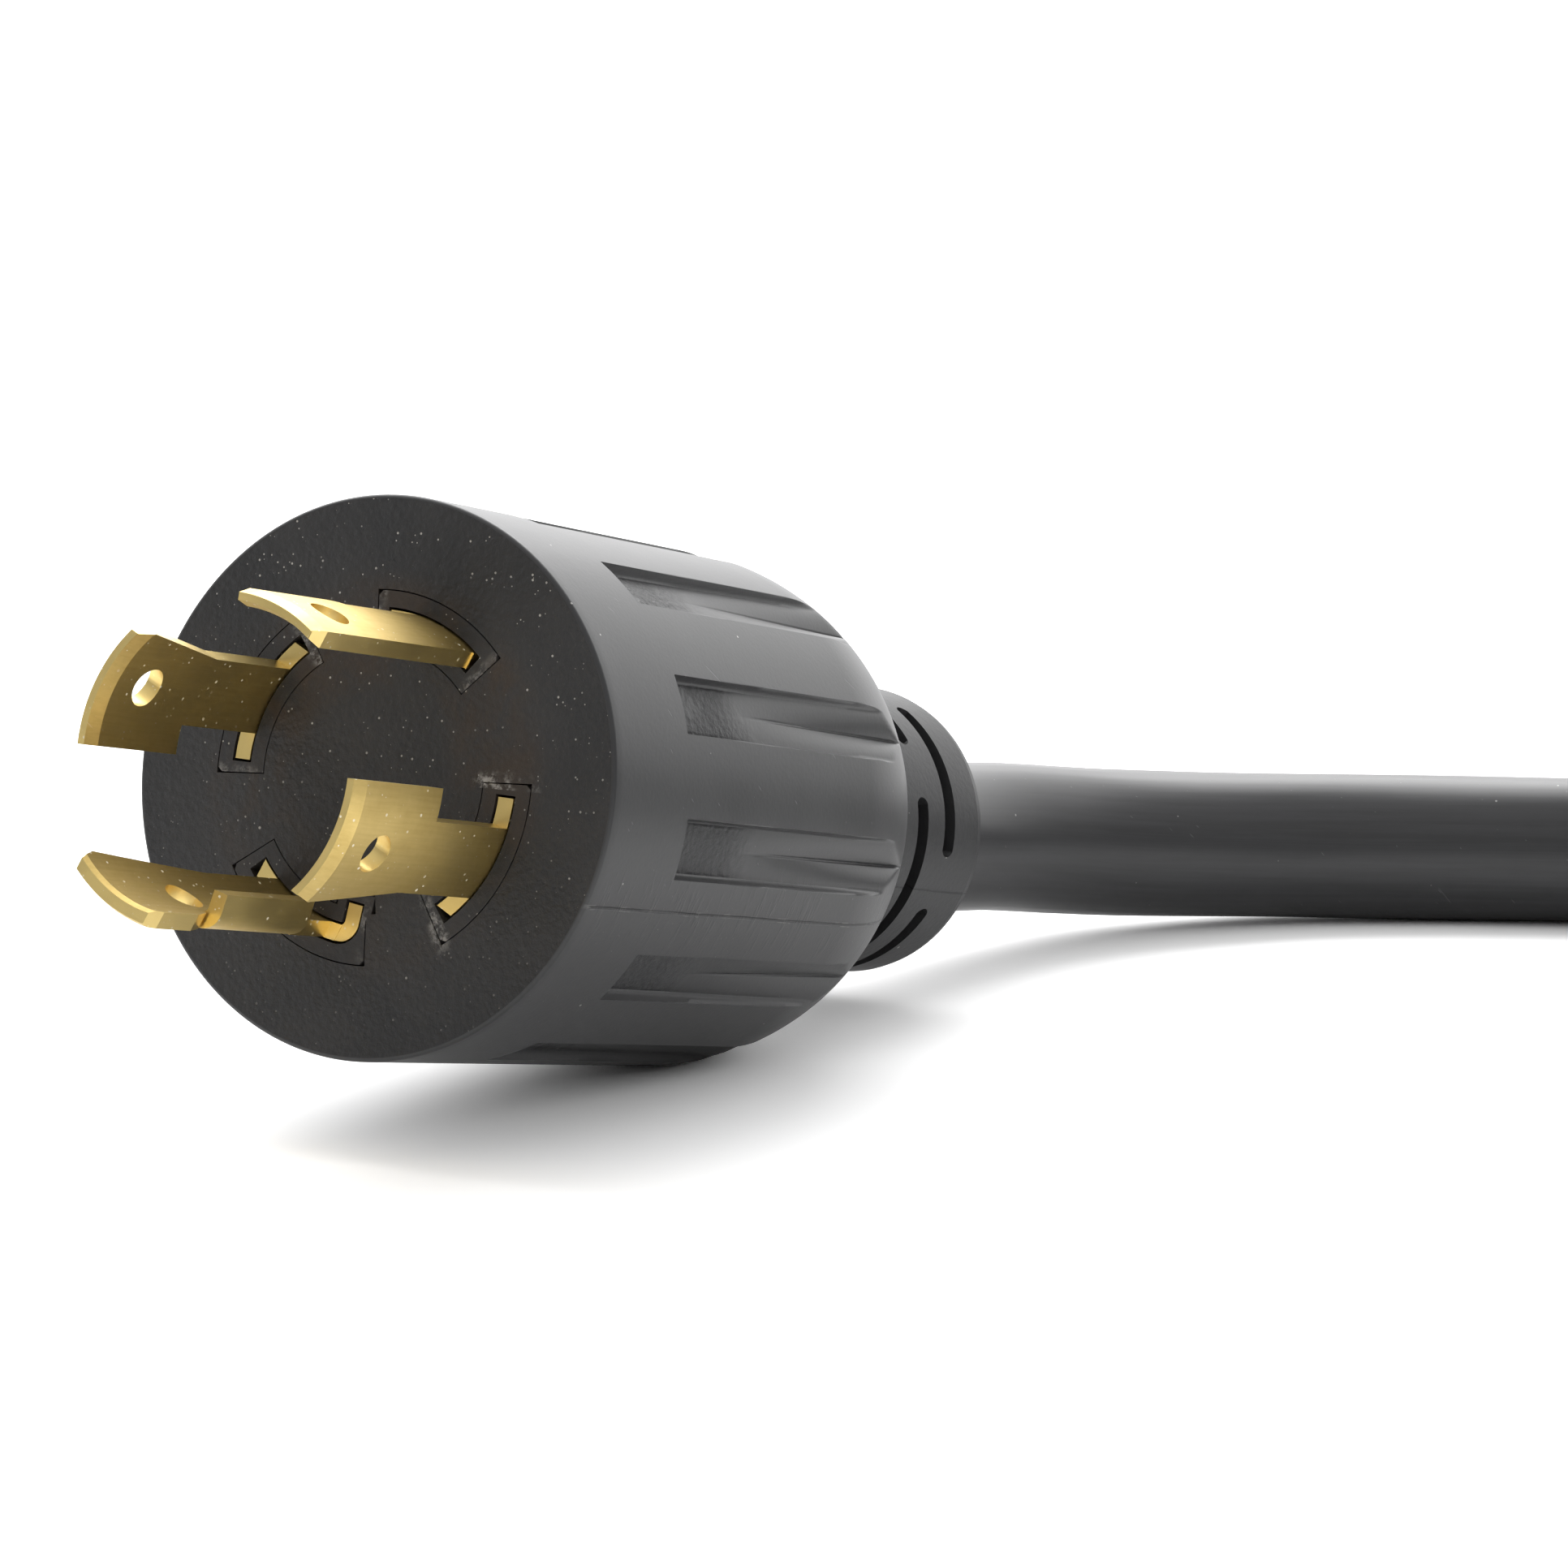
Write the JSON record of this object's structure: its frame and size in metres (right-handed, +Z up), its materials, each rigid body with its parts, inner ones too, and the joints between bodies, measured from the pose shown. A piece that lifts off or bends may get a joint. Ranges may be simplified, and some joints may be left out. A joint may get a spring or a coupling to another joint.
{
  "type": "shore power cord",
  "caption": "Moulded locking plug with four curved brass blades on a thick round cable, wound in a strapped coil that ends in a matching female connector.",
  "frame": {"origin": "on the surface that the cord lies on, below the middle of the plug's own bounding box", "axes": "+X from the blades towards the cable along the plug, +Z up; the plug lies nose up by 11.15 degrees on its rounded shoulder"},
  "size_m": [0.3529, 0.3696, 0.0636],
  "materials": {
    "body_vinyl": "satin",
    "insulator": "matte",
    "brass": "satin",
    "inner_vinyl": "matte",
    "relief_vinyl": "matte",
    "cable_jacket": "satin",
    "wire_white": "gloss",
    "wire_black": "gloss",
    "wire_red": "gloss",
    "wire_green": "gloss",
    "strap": "matte"
  },
  "bodies": {
    "root": {"plug_body": "body_vinyl", "plug_carrier": "insulator", "blade_neutral": "brass", "blade_hot_x": "brass", "blade_hot_y": "brass", "blade_ground": "brass", "plug_inner": "inner_vinyl", "plug_wire_neutral": "wire_white", "plug_wire_hot_x": "wire_black", "plug_wire_hot_y": "wire_red", "plug_wire_ground": "wire_green", "plug_cable_end": "cable_jacket", "plug_relief": "relief_vinyl", "cord_run": "cable_jacket", "cord_coil": "cable_jacket", "strap_near": "strap", "strap_far": "strap", "connector_body": "body_vinyl", "connector_core": "insulator", "contact_neutral": "brass", "contact_hot_x": "brass", "contact_hot_y": "brass", "contact_ground": "brass", "connector_inner": "inner_vinyl", "connector_wire_neutral": "wire_white", "connector_wire_hot_x": "wire_black", "connector_wire_hot_y": "wire_red", "connector_wire_ground": "wire_green", "connector_cable_end": "cable_jacket", "connector_relief": "relief_vinyl"}
  },
  "joints": []
}
